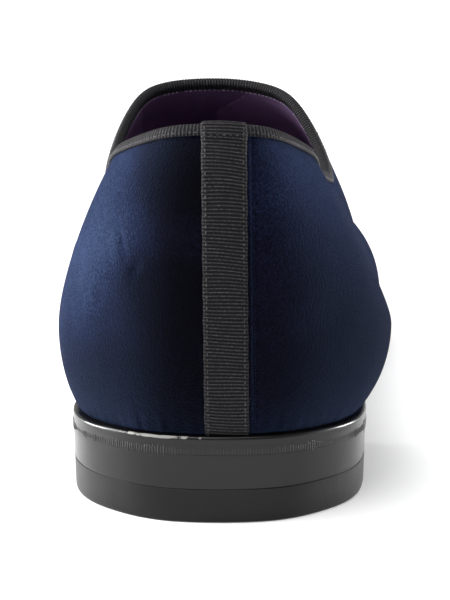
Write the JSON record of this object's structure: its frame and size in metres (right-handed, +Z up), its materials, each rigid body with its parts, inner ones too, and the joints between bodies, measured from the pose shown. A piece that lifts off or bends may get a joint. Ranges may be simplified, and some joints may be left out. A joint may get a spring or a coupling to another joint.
{
  "type": "slipper loafer",
  "caption": "Low slip-on dress shoe for the right foot: navy velvet upper with ribbon-bound topline and ribbon back strap, on a thin black leather sole with a low stacked heel.",
  "frame": {"origin": "on the floor, under the middle of the shoe's bounding box", "axes": "+Y from heel to toe, +Z up, +X towards the outer side of the right foot"},
  "size_m": [0.0968, 0.2958, 0.089],
  "materials": {
    "velvet": "short navy pile, soft sheen at the edges",
    "ribbon": "charcoal grosgrain with fine cross ribs",
    "lining_leather": "smooth purple lining leather",
    "sole_leather": "black, waxed and polished edge",
    "top_piece_rubber": "black, trimmed flush with the heel"
  },
  "bodies": {
    "root": {"upper": "velvet", "topline_binding": "ribbon", "back_strap": "ribbon", "insole": "lining_leather", "outsole": "sole_leather", "heel_stack": "sole_leather", "heel_top_piece": "top_piece_rubber"}
  },
  "joints": []
}
